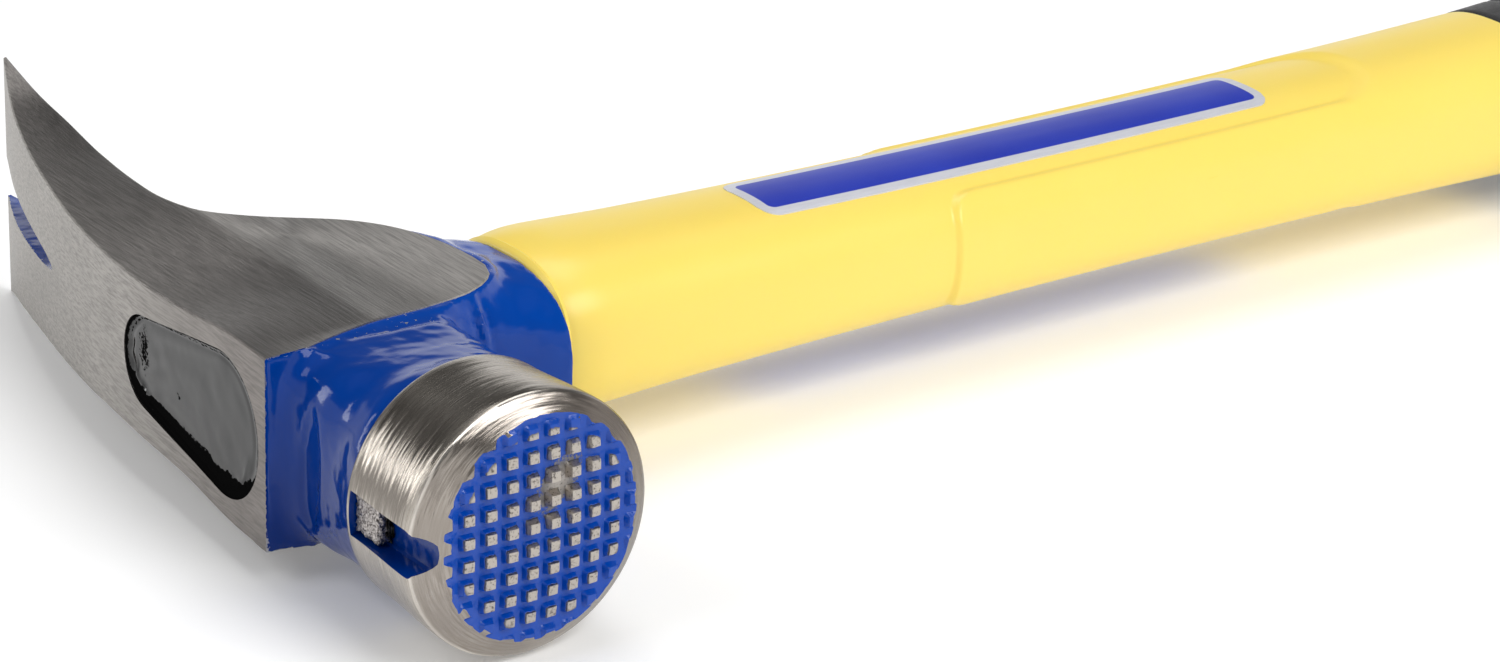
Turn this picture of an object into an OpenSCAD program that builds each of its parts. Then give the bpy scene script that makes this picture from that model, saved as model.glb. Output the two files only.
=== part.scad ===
// Rip-claw framing hammer lying on its side.
// X runs along the handle from head to butt, Y from striking face to claw, Z up.
// The origin is level with the poll's axis, on the flat butt end of the grip.

/* [Handle] */
// Distance from the axis of the poll to the flat butt end
reach = 389; // [370:1:410]
// Distance from the axis of the poll to the front edge of the rubber grip
grip_start = 221; // [215:1:240]
// Half of the handle's depth, along Y, at its slimmest
waist_depth = 14; // [13.6:0.1:15]
// Handle's thickness as a share of its depth
flatness = 0.8; // [0.76:0.01:0.82]
// Roundness of the handle's section, where 2 is an ellipse
section_power = 2.4; // [2:0.1:3]
// Wall of the rubber grip at its thinnest
grip_wall = 2.6; // [2:0.1:3]
// Half of the flat butt end's depth along Y
butt_depth = 17.5; // [16:0.1:18]
// Half width along Y of the glass-fibre core
core_depth = 10; // [9:0.1:10.4]
// Half thickness along Z of the glass-fibre core
core_thick = 6; // [5:0.1:6.4]
// How far the handle sits behind the poll's axis, towards the claw
handle_y = 0.6; // [0:0.1:0.8]
// How far the handle sits above the head's middle plane
handle_z = 0.4; // [0:0.1:0.5]

/* [Head] */
// Radius of the poll at its front rim
rim_r = 17.5; // [17:0.1:18]
// Radius of the poll at its rear rim
poll_r = 16.8; // [16.4:0.1:17]
// Distance from the handle's axis to the apex of the striking face
face_y = 55.7; // [55:0.1:57]
// Radius of the striking face's crown
crown_r = 116; // [100:1:140]
// Spacing of the milled grooves in the striking face
mill_pitch = 3.06; // [2.8:0.01:3.4]
// Depth of the milled grooves at the apex of the face
mill_depth = 1.2; // [1:0.1:1.4]
// Distance from the handle's axis to the claw's tip
claw_y = 87.65; // [87:0.05:88]
// Half width of the claw at its tip
claw_w = 18.35; // [17.8:0.05:18.6]
// Half width of the nail slot at the claw's tip
slot_w = 2.8; // [2:0.1:3.5]
// Distance from the handle's axis to the inner end of the nail slot
slot_y = 52; // [48:1:56]

/* [Nail starter] */
// Width of the groove that holds a nail in the poll's top
groove_w = 6; // [5:0.1:6.4]
// Depth of that groove below the poll's surface
groove_depth = 3.4; // [3:0.1:3.8]
// Length of the magnet along Y
magnet_l = 5.4; // [4:0.1:6]
// Thickness of the magnet
magnet_t = 1.8; // [1.5:0.1:2]

/* [Label] */
// Distance from the poll's axis to the label's near end
label_start = 71; // [60:1:90]
// Length of the label
label_l = 96; // [80:1:110]
// Half width of the label
label_w = 6.2; // [4:0.1:6.4]
// Offset of the label's middle line from the handle's axis, towards the face
label_off = 0.8; // [0:0.1:1.6]
// Thickness of the label
label_t = 0.25; // [0.2:0.05:0.4]

/* [Hidden] */

steel = [0.60, 0.59, 0.57];
enamel_blue = [0.02, 0.16, 0.62];
jacket_yellow = [0.99, 0.85, 0.25];
resin_black = [0.03, 0.03, 0.03];
glass_resin = [0.80, 0.78, 0.62];
rubber_black = [0.06, 0.06, 0.06];
magnet_grey = [0.35, 0.34, 0.33];

far = 60;
claw_steps = 20;
tube_steps = 8;
handle_steps = 17;
shoulder_end = 38;
shoulder_steps = 5;
grip_steps = 16;
ring_points = 36;
arc_steps = 16;

// Front wall of the eye block, and the end of the collar that the handle enters
block_front = -18.7;
collar_end = 31.9;
cheek_draft = 2;

// Top of the head: distance towards the top against distance towards the claw
top_knots = [[block_front, -16.9], [0, -15.75], [20, -14.7], [40, -12], [60, -7.4], [75, -2.9],
             [claw_y, 2.2]];
// Half width of that face
top_width = [[block_front, 13.35], [-8, 13.2], [5, 11.8], [20, 11.2], [35, 11.25], [50, 11.85],
             [65, 13], [78, 15.1], [claw_y, claw_w - 0.1]];
// Crease that runs along each cheek: its half width, and its distance from the axis
crease_width = [[block_front, 13.6], [25, 13.7], [43, 13.1], [58, 12.9], [70, 14.1], [78, 15.4],
                [claw_y, claw_w]];
crease_knots = [[block_front, 1.2], [28, 1], [43, 0.2], [58, 2.2], [70, 2.8], [claw_y, 2.8]];
// Lower edge of the ground cheek: down beside the neck, round the collar and along the claw
under_knots = [[block_front, -11.1], [-17.2, -6.5], [-15.6, 0.5], [-14.6, 9], [-12.6, 17.5],
               [-8, 23.7], [-2, 25.1], [9, 23.2], [17, 18], [24.5, 7.2], [30, 2], [37, 0.3],
               [45, 0.5], [58, 1.9], [72, 2.9], [claw_y, 2.7]];
front_steps = [block_front, -17.2, -15.6, -14.6, -12.6, -8, -2];
// Painted tube round the eye: front edge, rear edge, half thickness and roundness, against X
tube_front = [[-2, -15.3], [12, -15], [24, -15.5], [collar_end, -16.3]];
tube_rear = [[-2, 38], [3, 31], [8, 26], [14, 21.5], [20, 18.4], [26, 17], [collar_end, 16.7]];
tube_thick = [[-2, 12.9], [18, 12.7], [26, 12], [collar_end, 11.1]];
tube_power = [[-2, 8], [12, 6], [24, 3.2], [collar_end, 2.5]];
// Neck between the eye block and the poll: half depth, half thickness and roundness, against Y
neck_depth = [[-37.6, 16], [-31, 14.2], [-25, 13.8], [-13, 13.8]];
neck_thick = [[-37.6, 16], [-31, 14.1], [-25, 13.5], [-13, 13.25]];
neck_power = [[-37.6, 2], [-31, 3], [-25, 4], [-13, 5]];
// Half depth of the jacket as a share of waist_depth, against distance from the poll
jacket_knots = [[collar_end, 0.97], [33.2, 1.045], [35.2, 1.09], [38, 1.113], [42, 1.108],
                [55, 1.066], [85, 1.02], [115, 1], [150, 1], [190, 1.025], [grip_start, 1.08]];
// Same for the rubber grip, up to the rounded rim of its butt
grip_knots = [[grip_start, 1.1], [250, 1.19], [290, 1.22], [330, 1.19], [365, 1.26],
              [reach - 3, 1.34]];
grip_flatness = [[grip_start, flatness], [reach, flatness + 0.1]];

mill_count = 5;
mill_x = 0.67;
mill_z = -0.83;
mill_top = 0.95;
mill_floor = 0.4;
face_edge_r = 14.4;
rim_y = -52.7;
poll_back = -37.5;
groove_floor = groove_depth - (rim_r + poll_r) / 2;

eye_poll_r = 10;
eye_poll_y = -6.8;
eye_claw_r = 6.6;
eye_claw_y = 15.5;
eye_floor = 12;
cap_poll_x = -16.5;
cap_claw_x = -13.4;
cap_bottom = -12.4;
core_top = -11.5;
bond_floor = 10;
tang_depth = 14;
tang_thick = 8.8;
grip_floor = 7;
butt_round = 3;
core_inset = 10;
magnet_y = -38.4;
bond_t = 0.4;

// Index of the span of knots k that holds u
function span(k, u, i = 0) = (i >= len(k) - 2 || u < k[i + 1][0]) ? i : span(k, u, i + 1);

// Slope at knot i
function slope(k, i) =
    let (a = max(i - 1, 0), b = min(i + 1, len(k) - 1))
    (k[b][1] - k[a][1]) / (k[b][0] - k[a][0]);

// Smooth curve through knots [[u, v], ...]
function curve(k, u) =
    let (i = span(k, u))
    let (h = k[i + 1][0] - k[i][0])
    let (t = (u - k[i][0]) / h)
    let (a = slope(k, i) * h, b = slope(k, i + 1) * h)
    (1 + 2 * t) * (1 - t) * (1 - t) * k[i][1] + t * (1 - t) * (1 - t) * a
    + t * t * (3 - 2 * t) * k[i + 1][1] - t * t * (1 - t) * b;

// Evenly spaced values from a to b
function steps(a, b, n) = [for (i = [0:n]) a + (b - a) * i / n];

function signed_root(v, p) = sign(v) * pow(abs(v), p);

// Point of a superellipse with half sizes a and b, at angle t
function oval(a, b, p, t) = [a * signed_root(cos(t), 2 / p), b * signed_root(sin(t), 2 / p)];

// Closed ring in the plane X = x, centred at Y = y
function ring_x(x, y, a, b, p) =
    [for (i = [0:ring_points - 1])
     let (q = oval(a, b, p, 360 * (i + 0.5) / ring_points)) [x, y + q[0], q[1]]];

// Closed ring in the plane Y = y, centred on the poll's axis
function ring_y(y, a, b, p) =
    [for (i = [0:ring_points - 1])
     let (q = oval(a, b, p, -360 * (i + 0.5) / ring_points)) [q[0], y, q[1]]];

// Closed solid through rings of equally many points, which turn about the way they advance
module loft(rings) {
    n = len(rings[0]);
    m = len(rings);
    first = [for (i = [0:n - 1]) i];
    last = [for (i = [n - 1:-1:0]) (m - 1) * n + i];
    near = [for (j = [0:m - 2], i = [0:n - 1]) [j * n + i, (j + 1) * n + i, j * n + (i + 1) % n]];
    beyond = [for (j = [0:m - 2], i = [0:n - 1])
              [j * n + (i + 1) % n, (j + 1) * n + i, (j + 1) * n + (i + 1) % n]];
    polyhedron([for (r = rings) each r], concat([first], near, beyond, [last]));
}

// Puts what is drawn about the eye's centre into the part's own frame
module from_eye() {
    translate([-reach, 0, 0])
        children();
}

// Puts what is drawn about the handle's axis into the part's own frame
module from_handle() {
    translate([-reach, handle_y, handle_z])
        children();
}

// Extrudes an outline drawn in Y and Z along X, from x0 to x1
module along_x(x0, x1) {
    translate([x0, 0, 0])
        rotate([90, 0, 90])
            linear_extrude(x1 - x0)
                children();
}

// Points on a circle of radius r about [y, 0], from angle a to angle b
function arc(y, r, a, b) = [for (t = steps(a, b, arc_steps)) [y + r * cos(t), r * sin(t)]];

// Egg-shaped outline of the eye, widest towards the poll
module eye_outline() {
    lean = 180 - acos((eye_poll_r - eye_claw_r) / (eye_claw_y - eye_poll_y));
    polygon(concat(arc(eye_claw_y, eye_claw_r, lean - 180, 180 - lean),
                   arc(eye_poll_y, eye_poll_r, 180 - lean, 180 + lean)));
}

// Flat-sided outline with round ends, half sizes a along Y and b along Z
module stadium(a, b) {
    polygon(concat(arc(a - b, b, -90, 90), arc(b - a, b, 90, 270)));
}

// Ground block and claw: creased cheeks between a curved top and under side
module ground_body() {
    loft([for (y = concat(front_steps, steps(5, claw_y, claw_steps)))
          let (x = curve(top_knots, y), w = curve(top_width, y), u = curve(under_knots, y))
          let (m = min(curve(crease_knots, y), u - 0.3), c = curve(crease_width, y))
          let (v = c - cheek_draft * (u - m) / far)
          [[x, y, -w], [x, y, w], [m, y, c], [u, y, v], [u, y, -v], [m, y, -c]]]);
}

// Painted tube round the eye, from under the block to the collar's open end
module eye_tube() {
    loft([for (x = steps(-2, collar_end, tube_steps))
          let (f = curve(tube_front, x), r = curve(tube_rear, x))
          ring_x(x, (r + f) / 2, (r - f) / 2, curve(tube_thick, x), curve(tube_power, x))]);
}

// Painted neck that joins the eye block to the poll
module neck() {
    loft([for (y = steps(-37.6, -13, tube_steps))
          ring_y(y, curve(neck_depth, y), curve(neck_thick, y), curve(neck_power, y))]);
}

// Turned poll with a slight bell, a bevelled rim and a crowned face
module poll() {
    crown = [for (r = steps(0, face_edge_r, 5)) [r, face_y - r * r / (2 * crown_r)]];
    rotate([90, 0, 0])
        rotate_extrude($fn = 128)
            polygon(concat(crown, [[rim_r, -rim_y], [poll_r, -poll_back],
                                   [poll_r - 1, -poll_back - 1], [0, -poll_back - 1]]));
}

// One milled groove across the striking face, along Z
module mill_groove() {
    translate([0, -face_y, 0])
        linear_extrude(2 * rim_r + 2, center = true)
            polygon([[-mill_top, -0.2], [mill_top, -0.2], [mill_floor, mill_depth],
                     [-mill_floor, mill_depth]]);
}

module milled_face() {
    for (i = [-mill_count:mill_count]) {
        translate([mill_x + i * mill_pitch, 0, 0])
            mill_groove();
        translate([0, 0, mill_z + i * mill_pitch])
            rotate([0, 90, 0])
                mill_groove();
    }
}

// Round-ended groove in the poll's top, open towards the neck
module starter_groove() {
    front = rim_y - 1.8 + groove_w / 2;
    translate([groove_floor, 0, 0])
        rotate([0, -90, 0])
            linear_extrude(far) {
                translate([0, front])
                    circle(groove_w / 2, $fn = 64);
                translate([-groove_w / 2, front])
                    square([groove_w, magnet_y - front]);
            }
}

// V-shaped nail slot between the two claws
module nail_slot() {
    rotate([0, 90, 0])
        linear_extrude(far, center = true)
            polygon([[0, slot_y], [slot_w * 0.62, (slot_y + claw_y) / 2], [slot_w, claw_y + 1],
                     [-slot_w, claw_y + 1], [-slot_w * 0.62, (slot_y + claw_y) / 2]]);
}

module head() {
    color(steel)
        from_eye() {
            difference() {
                union() {
                    ground_body();
                    eye_tube();
                    neck();
                }
                along_x(-far, eye_floor)
                    eye_outline();
                translate([0, handle_y, handle_z])
                    along_x(eye_floor - 1, collar_end + 1)
                        stadium(tang_depth, tang_thick);
                nail_slot();
            }
            difference() {
                poll();
                milled_face();
                starter_groove();
            }
        }
}

// Poured resin cap that closes the top of the eye and slopes with the head's top
module eye_cap() {
    color(resin_black)
        from_eye()
            intersection() {
                along_x(-far, cap_bottom)
                    eye_outline();
                linear_extrude(far, center = true)
                    polygon([[cap_poll_x, block_front], [cap_claw_x, 2 * eye_claw_y],
                             [0, 2 * eye_claw_y], [0, block_front]]);
            }
}

// Resin that bonds the core inside the eye
module eye_bond() {
    color(resin_black)
        from_eye()
            difference() {
                along_x(cap_bottom, bond_floor)
                    eye_outline();
                translate([0, handle_y, handle_z])
                    along_x(core_top, eye_floor)
                        stadium(core_depth, core_thick);
            }
}

// Glass-fibre bar that runs from the eye to the butt
module handle_core() {
    color(glass_resin)
        from_handle()
            along_x(core_top, reach - core_inset)
                stadium(core_depth, core_thick);
}

// Half depth of the jacket at distance x from the poll
function jacket_a(x) = waist_depth * curve(jacket_knots, x);

// Length of jacket under the rubber grip, from x0 to the grip's closed end
module under_grip(x0) {
    a = jacket_a(grip_start);
    along_x(x0, reach - grip_floor)
        stadium(a - grip_wall, a * flatness - grip_wall);
}

// Plastic jacket moulded over the core
module handle_jacket() {
    color(jacket_yellow)
        from_handle()
            difference() {
                union() {
                    loft([for (x = concat(steps(collar_end, shoulder_end - 1, shoulder_steps),
                                          steps(shoulder_end, grip_start, handle_steps)))
                          ring_x(x, 0, jacket_a(x), jacket_a(x) * flatness, section_power)]);
                    along_x(bond_floor, collar_end + 1)
                        stadium(tang_depth, tang_thick);
                    under_grip(grip_start - 1);
                }
                along_x(bond_floor - 1, reach - core_inset)
                    stadium(core_depth, core_thick);
            }
}

// Height of the jacket's surface above the handle's axis, at distance x and side offset y
function jacket_z(x, y) =
    let (a = jacket_a(x))
    a * flatness * pow(1 - pow(abs(y) / a, section_power), 1 / section_power);

// Foil label that follows the jacket's upper side
module label() {
    across = steps(label_w - label_off, -label_w - label_off, 12);
    loft([for (x = steps(label_start, label_start + label_l, 8))
          concat([for (y = across) [x, y, jacket_z(x, y) + label_t]],
                 [for (i = [len(across) - 1:-1:0]) [x, across[i], jacket_z(x, across[i])]])]);
}

module upper_label() {
    color(enamel_blue)
        from_handle()
            label();
}

module lower_label() {
    color(enamel_blue)
        from_handle()
            rotate([180, 0, 0])
                label();
}

// Rubber sleeve with a flat butt
module grip() {
    color(rubber_black)
        from_handle()
            difference() {
                loft(concat([for (x = steps(grip_start, reach - butt_round, grip_steps))
                             let (a = waist_depth * curve(grip_knots, x))
                             ring_x(x, 0, a, a * curve(grip_flatness, x), section_power)],
                            [ring_x(reach, 0, butt_depth, butt_depth * curve(grip_flatness, reach),
                                    section_power)]));
                under_grip(grip_start - 1);
            }
}

module starter_magnet() {
    color(magnet_grey)
        from_eye()
            translate([groove_floor - bond_t - magnet_t, magnet_y - magnet_l, 0.3 - groove_w / 2])
                cube([magnet_t, magnet_l, groove_w - 0.6]);
}

module magnet_bond() {
    color(resin_black)
        from_eye()
            translate([groove_floor - bond_t, magnet_y - magnet_l - 0.3, 0.1 - groove_w / 2])
                cube([bond_t, magnet_l + 0.3, groove_w - 0.2]);
}

head();
eye_cap();
eye_bond();
handle_core();
handle_jacket();
upper_label();
lower_label();
grip();
starter_magnet();
magnet_bond();
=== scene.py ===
"""Claw hammer lying on its side: forged head, poured resin eye, jacketed handle and rubber grip."""
import math

import bmesh
import bpy
import numpy as np
import openvdb
from mathutils import Matrix, Vector


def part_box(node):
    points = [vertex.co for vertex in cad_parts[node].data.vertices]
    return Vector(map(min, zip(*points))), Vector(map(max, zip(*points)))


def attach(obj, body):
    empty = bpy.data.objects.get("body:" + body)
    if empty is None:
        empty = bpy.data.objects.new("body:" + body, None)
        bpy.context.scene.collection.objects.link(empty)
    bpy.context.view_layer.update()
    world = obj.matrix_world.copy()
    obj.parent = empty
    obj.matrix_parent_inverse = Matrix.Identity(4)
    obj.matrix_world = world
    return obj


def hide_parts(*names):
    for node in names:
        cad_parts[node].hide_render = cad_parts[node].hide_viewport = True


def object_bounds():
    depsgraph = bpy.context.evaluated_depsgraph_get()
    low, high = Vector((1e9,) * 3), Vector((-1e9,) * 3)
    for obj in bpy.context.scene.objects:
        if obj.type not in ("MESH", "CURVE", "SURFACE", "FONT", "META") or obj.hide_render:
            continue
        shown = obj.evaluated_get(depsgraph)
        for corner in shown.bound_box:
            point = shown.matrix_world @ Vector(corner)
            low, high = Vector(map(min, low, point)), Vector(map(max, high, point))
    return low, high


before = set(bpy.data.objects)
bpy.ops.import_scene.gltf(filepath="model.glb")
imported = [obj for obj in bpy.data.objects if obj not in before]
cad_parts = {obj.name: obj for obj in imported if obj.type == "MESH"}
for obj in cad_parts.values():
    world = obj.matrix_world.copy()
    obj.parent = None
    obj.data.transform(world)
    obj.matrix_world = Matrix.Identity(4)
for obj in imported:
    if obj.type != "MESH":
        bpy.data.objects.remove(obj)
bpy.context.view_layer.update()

# Every length below is in millimetres, in the head's frame: the poll's axis along Y, the handle's
# along X and Z up, with the origin where the two meet. Down to the curves, the values repeat those
# of the CAD model, apart from BEVEL_LEAN and the jacket's pads.
BLOCK_FRONT, COLLAR_END, CLAW_END = -18.7, 31.9, 87.65
GRIP_START, BUTT_END = 221.0, 389.0
RIM_R, POLL_R, FACE_Y, CROWN_R = 17.5, 16.8, 55.7, 116.0
FACE_EDGE_R, RIM_Y, BEVEL_LEAN = 14.4, -52.7, 1.5
MILL_PITCH, MILL_DEPTH, MILL_X, MILL_Z = 3.06, 1.2, 0.67, -0.83
GROOVE_W, GROOVE_FLOOR, MAGNET_Y, MAGNET_L, MAGNET_T = 6.0, -13.75, -38.4, 5.4, 1.8
SLOT_Y, SLOT_W = 52.0, 2.8
EYE_POLL_END, EYE_CLAW_END = (10.0, -6.8), (6.6, 15.5)
EYE_FLOOR, CAP_BOTTOM, BOND_FLOOR, TANG, CORE = 12.0, -12.4, 10.0, (14.0, 8.8), (10.0, 6.0)
CHEEK_DRAFT = 2.0 / 60.0
WAIST, FLATNESS, SECTION_POWER = 14.0, 0.8, 2.4
LABEL_START, LABEL_L, LABEL_W, LABEL_OFF = 71.0, 96.0, 6.2, 0.8
PAD_RISE, PAD_SINK, PAD_FOOT, PANEL_HALF, PANEL_END = 0.7, 0.7, 100.4, 9.9, 187.2
SLEEVE_INSET, SLEEVE_END, CORE_END = 2.6, BUTT_END - 7, BUTT_END - 10

TOP = [(-18.7, -16.9), (0, -15.75), (20, -14.7), (40, -12), (60, -7.4), (75, -2.9), (87.65, 2.2)]
TOP_WIDTH = [(-18.7, 13.35), (-8, 13.2), (5, 11.8), (20, 11.2), (35, 11.25), (50, 11.85),
             (65, 13), (78, 15.1), (87.65, 18.25)]
CREASE_WIDTH = [(-18.7, 13.6), (25, 13.7), (43, 13.1), (58, 12.9), (70, 14.1), (78, 15.4),
                (87.65, 18.35)]
CREASE = [(-18.7, 1.2), (28, 1), (43, 0.2), (58, 2.2), (70, 2.8), (87.65, 2.8)]
UNDER = [(-18.7, -11.1), (-17.2, -6.5), (-15.6, 0.5), (-14.6, 9), (-12.6, 17.5), (-8, 23.7),
         (-2, 25.1), (9, 23.2), (17, 18), (24.5, 7.2), (30, 2), (37, 0.3), (45, 0.5), (58, 1.9),
         (72, 2.9), (87.65, 2.7)]
TUBE_FRONT = [(-2, -15.3), (12, -15), (24, -15.5), (31.9, -16.3)]
TUBE_REAR = [(-2, 38), (3, 31), (8, 26), (14, 21.5), (20, 18.4), (26, 17), (31.9, 16.7)]
TUBE_THICK = [(-2, 12.9), (18, 12.7), (26, 12), (31.9, 11.1)]
TUBE_POWER = [(-2, 8), (12, 6), (24, 3.2), (31.9, 2.5)]
NECK_DEPTH = [(-37.6, 16), (-31, 14.2), (-25, 13.8), (-13, 13.8)]
NECK_THICK = [(-37.6, 16), (-31, 14.1), (-25, 13.5), (-13, 13.25)]
NECK_POWER = [(-37.6, 2), (-31, 3), (-25, 4), (-13, 5)]
JACKET = [(31.9, 0.97), (33.2, 1.045), (35.2, 1.09), (38, 1.113), (42, 1.108), (55, 1.066),
          (85, 1.02), (115, 1), (150, 1), (190, 1.025), (221, 1.08)]
GRIP = [(221, 1.1), (250, 1.19), (290, 1.22), (330, 1.19), (365, 1.26), (386, 1.34)]

# How finely the shapes are sampled: the enamel's voxels, the steps in a milled groove's pitch, the
# points around the poll and the handle, and the jacket's sections as spans of (start, end, step).
VOXEL, MILL_STEPS, POLL_POINTS, HANDLE_POINTS = 0.5, 14, 256, 208
JACKET_SPANS = [(33.3, 42, 0.5), (43, 99, 1.4), (99, 102.2, 0.2), (102.5, 176, 1.2),
                (176, 191, 0.5), (191, 220, 1.6)]

# Soft boxes: name, direction from the target, distance and size in metres, power in watts.
LIGHTS = [
    ("front_box", (0.15, -0.68, 0.7), 1.3, (0.95, 0.65), 11),
    ("left_box", (-0.75, 0.1, 0.75), 1.4, (0.6, 0.6), 3.5),
    ("top_box", (0.2, 0.25, 1.0), 1.6, (0.9, 0.9), 7),
    ("rim_strip", (-0.61, 0.73, 0.3), 1.2, (0.12, 0.5), 1.0),
]
# The studio's brightness by height, from the horizon at 0 to straight up at 1.
SKY = ((0.0, 0.95), (0.24, 0.95), (0.36, 0.14), (0.62, 0.07), (0.8, 0.25), (1.0, 0.4))
FLOOR_HALF, FLOOR_WHITE, FLOOR_ROUGH, FLOOR_GLOW = 6.0, 0.93, 0.9, 0.13
LIGHT_TARGET = (40, 0, 0)
# The camera's yaw, pitch and roll in degrees, its place, and its film and focal length.
CAMERA_TURN, CAMERA_PLACE = (37.6376, 22.4706, 2.3255), (-259.005, -431.246, 216.069)
FILM, FOCAL = 36.0, 99.53

# The frame gives the place of that origin, and of the handle's axis beside it.
_, head_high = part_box("head")
core_low, core_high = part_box("handle_core")
ORIGIN = np.array([head_high.x * 1000 - COLLAR_END, 0.0, 0.0])
HANDLE = (np.array(core_low) + np.array(core_high)) * 500 * [0, 1, 1]


# ---------------------------------------------------------------- curves and noise
def curve(knots, u):
    """Smooth curve through the knots (u, v)."""
    k = np.asarray(knots, float)
    u = np.clip(np.asarray(u, float), k[0, 0], k[-1, 0])
    n = np.arange(len(k))
    before, after = np.maximum(n - 1, 0), np.minimum(n + 1, len(k) - 1)
    slope = (k[after, 1] - k[before, 1]) / (k[after, 0] - k[before, 0])
    i = np.clip(np.searchsorted(k[:, 0], u, side="right") - 1, 0, len(k) - 2)
    h = k[i + 1, 0] - k[i, 0]
    t = (u - k[i, 0]) / h
    return ((1 + 2 * t) * (1 - t) ** 2 * k[i, 1] + t * (1 - t) ** 2 * h * slope[i]
            + t * t * (3 - 2 * t) * k[i + 1, 1] - t * t * (1 - t) * h * slope[i + 1])


def smooth(a, b, u):
    """0 below a and 1 above b, with soft ends."""
    t = np.clip((u - a) / (b - a), 0, 1)
    return t * t * (3 - 2 * t)


def lumps(x, y, z, size, seed, waves=12):
    """Uneven field that mostly stays between -1 and 1, with bumps of about the given size."""
    rng = np.random.default_rng(seed)
    total = 0
    for _ in range(waves):
        d = rng.normal(size=3)
        d *= 2 * math.pi * rng.uniform(0.6, 1.4) / (size * np.linalg.norm(d))
        total = total + np.sin(x * d[0] + y * d[1] + z * d[2] + rng.uniform(0, 2 * math.pi))
    return total / math.sqrt(waves)


def soft_min(a, b, k):
    """Smaller of two distances, with a fillet of about k where they are equal."""
    h = np.maximum(k - np.abs(a - b), 0) / k
    return np.minimum(a, b) - h * h * k / 4


# ---------------------------------------------------------------- meshes
def make(name, points, faces, slot=0):
    """Mesh object from points in the head's frame. Every face takes the same material slot."""
    mesh = bpy.data.meshes.new(name)
    mesh.from_pydata(((np.asarray(points, float) + ORIGIN) / 1000).tolist(), [], faces)
    whole = bmesh.new()
    whole.from_mesh(mesh)
    bmesh.ops.recalc_face_normals(whole, faces=whole.faces)
    whole.to_mesh(mesh)
    whole.free()
    obj = bpy.data.objects.new(name, mesh)
    bpy.context.scene.collection.objects.link(obj)
    for _ in range(4):
        mesh.materials.append(None)
    mesh.polygons.foreach_set("material_index", [slot] * len(mesh.polygons))
    return obj


def quads(rows, cols, wrap, flip=False):
    """Faces between rows of points, each row closed into a ring if wrap is set."""
    faces = []
    for j in range(rows - 1):
        for i in range(cols if wrap else cols - 1):
            a, b = j * cols + i, j * cols + (i + 1) % cols
            face = (a, a + cols, b + cols, b)
            faces.append(face[::-1] if flip else face)
    return faces


def loft(name, rings, slot=0):
    """Closed solid through rings that turn right-handed about the way they advance."""
    rings = np.asarray(rings, float)
    m, n = rings.shape[:2]
    faces = quads(m, n, True, flip=True)
    faces.append(tuple(range(n))[::-1])
    faces.append(tuple(range((m - 1) * n, m * n)))
    return make(name, rings.reshape(-1, 3), faces, slot)


def border(rows, cols):
    """Places in a grid's list of points, once around its edge."""
    edge = [(0, i) for i in range(cols)]
    edge += [(j, cols - 1) for j in range(1, rows)]
    edge += [(rows - 1, i) for i in range(cols - 2, -1, -1)]
    edge += [(j, 0) for j in range(rows - 2, 0, -1)]
    return [j * cols + i for j, i in edge]


def sheet(name, top, bottom, slot=0):
    """Closed sheet between two grids of points."""
    m, n = top.shape[:2]
    rim = border(m, n)
    faces = quads(m, n, False) + [tuple(v + m * n for v in f[::-1]) for f in quads(m, n, False)]
    for a, b in zip(rim, rim[1:] + rim[:1]):
        faces.append((a, b, b + m * n, a + m * n))
    return make(name, np.concatenate([top.reshape(-1, 3), bottom.reshape(-1, 3)]), faces, slot)


def combine(base, tool, operation):
    """Applies a solid to another and removes it."""
    cut = base.modifiers.new("solid", "BOOLEAN")
    cut.solver = "MANIFOLD"
    cut.operation = operation
    cut.object = tool
    graph = bpy.context.evaluated_depsgraph_get()
    mesh = bpy.data.meshes.new_from_object(base.evaluated_get(graph))
    base.modifiers.clear()
    base.data = mesh
    bpy.data.objects.remove(tool)
    bpy.context.view_layer.update()


def points_of(obj):
    """Places of a mesh's points in the head's frame, in millimetres."""
    co = np.zeros(len(obj.data.vertices) * 3)
    obj.data.vertices.foreach_get("co", co)
    return co.reshape(-1, 3) * 1000 - ORIGIN


def mark(obj, name, values):
    """Gives each point of a mesh a number that its material can read."""
    layer = obj.data.attributes.new(name, "FLOAT", "POINT")
    layer.data.foreach_set("value", np.asarray(values, np.float32))


def shade(obj, angle=30):
    """Smooth shading with edges sharper than the angle kept crisp."""
    obj.data.shade_smooth()
    obj.data.set_sharp_from_angle(angle=math.radians(angle))


def oval(a, b, power, n):
    """n points of a superellipse with half sizes a and b."""
    t = 2 * np.pi * (np.arange(n) + 0.5) / n
    c, s = np.cos(t), np.sin(t)
    return (a * np.sign(c) * np.abs(c) ** (2 / power),
            b * np.sign(s) * np.abs(s) ** (2 / power))


def stadium(a, b, n):
    """n points of a flat-sided outline with round ends, half sizes a and b."""
    t = 2 * np.pi * (np.arange(n) + 0.5) / n
    return b * np.cos(t) + np.sign(np.cos(t)) * (a - b), b * np.sin(t)


def ring_x(x, section, centre=(0.0, 0.0)):
    """Ring in the plane X = x from a section drawn in Y and Z."""
    y, z = section
    return np.stack([np.full(len(y), x), y + centre[0], z + centre[1]], axis=1)


# ---------------------------------------------------------------- head
def block_section(y):
    """Top, crease and under side of the ground block at y, each as distance and half width."""
    x, w, u, c = (curve(k, y) for k in (TOP, TOP_WIDTH, UNDER, CREASE_WIDTH))
    m = np.minimum(curve(CREASE, y), u - 0.3)
    return x, w, m, c, u, c - CHEEK_DRAFT * (u - m)


def cheek_distance(section, x, side):
    """Distance outwards from the block's two cheek facets, at a height of side off the middle."""
    top, w, m, c, u, v = section
    upper = (-(x - top) * (c - w) + (side - w) * (m - top)) / np.hypot(c - w, m - top)
    lower = (-(x - m) * (v - c) + (side - c) * (u - m)) / np.hypot(v - c, u - m)
    return np.maximum(upper, lower)


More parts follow.
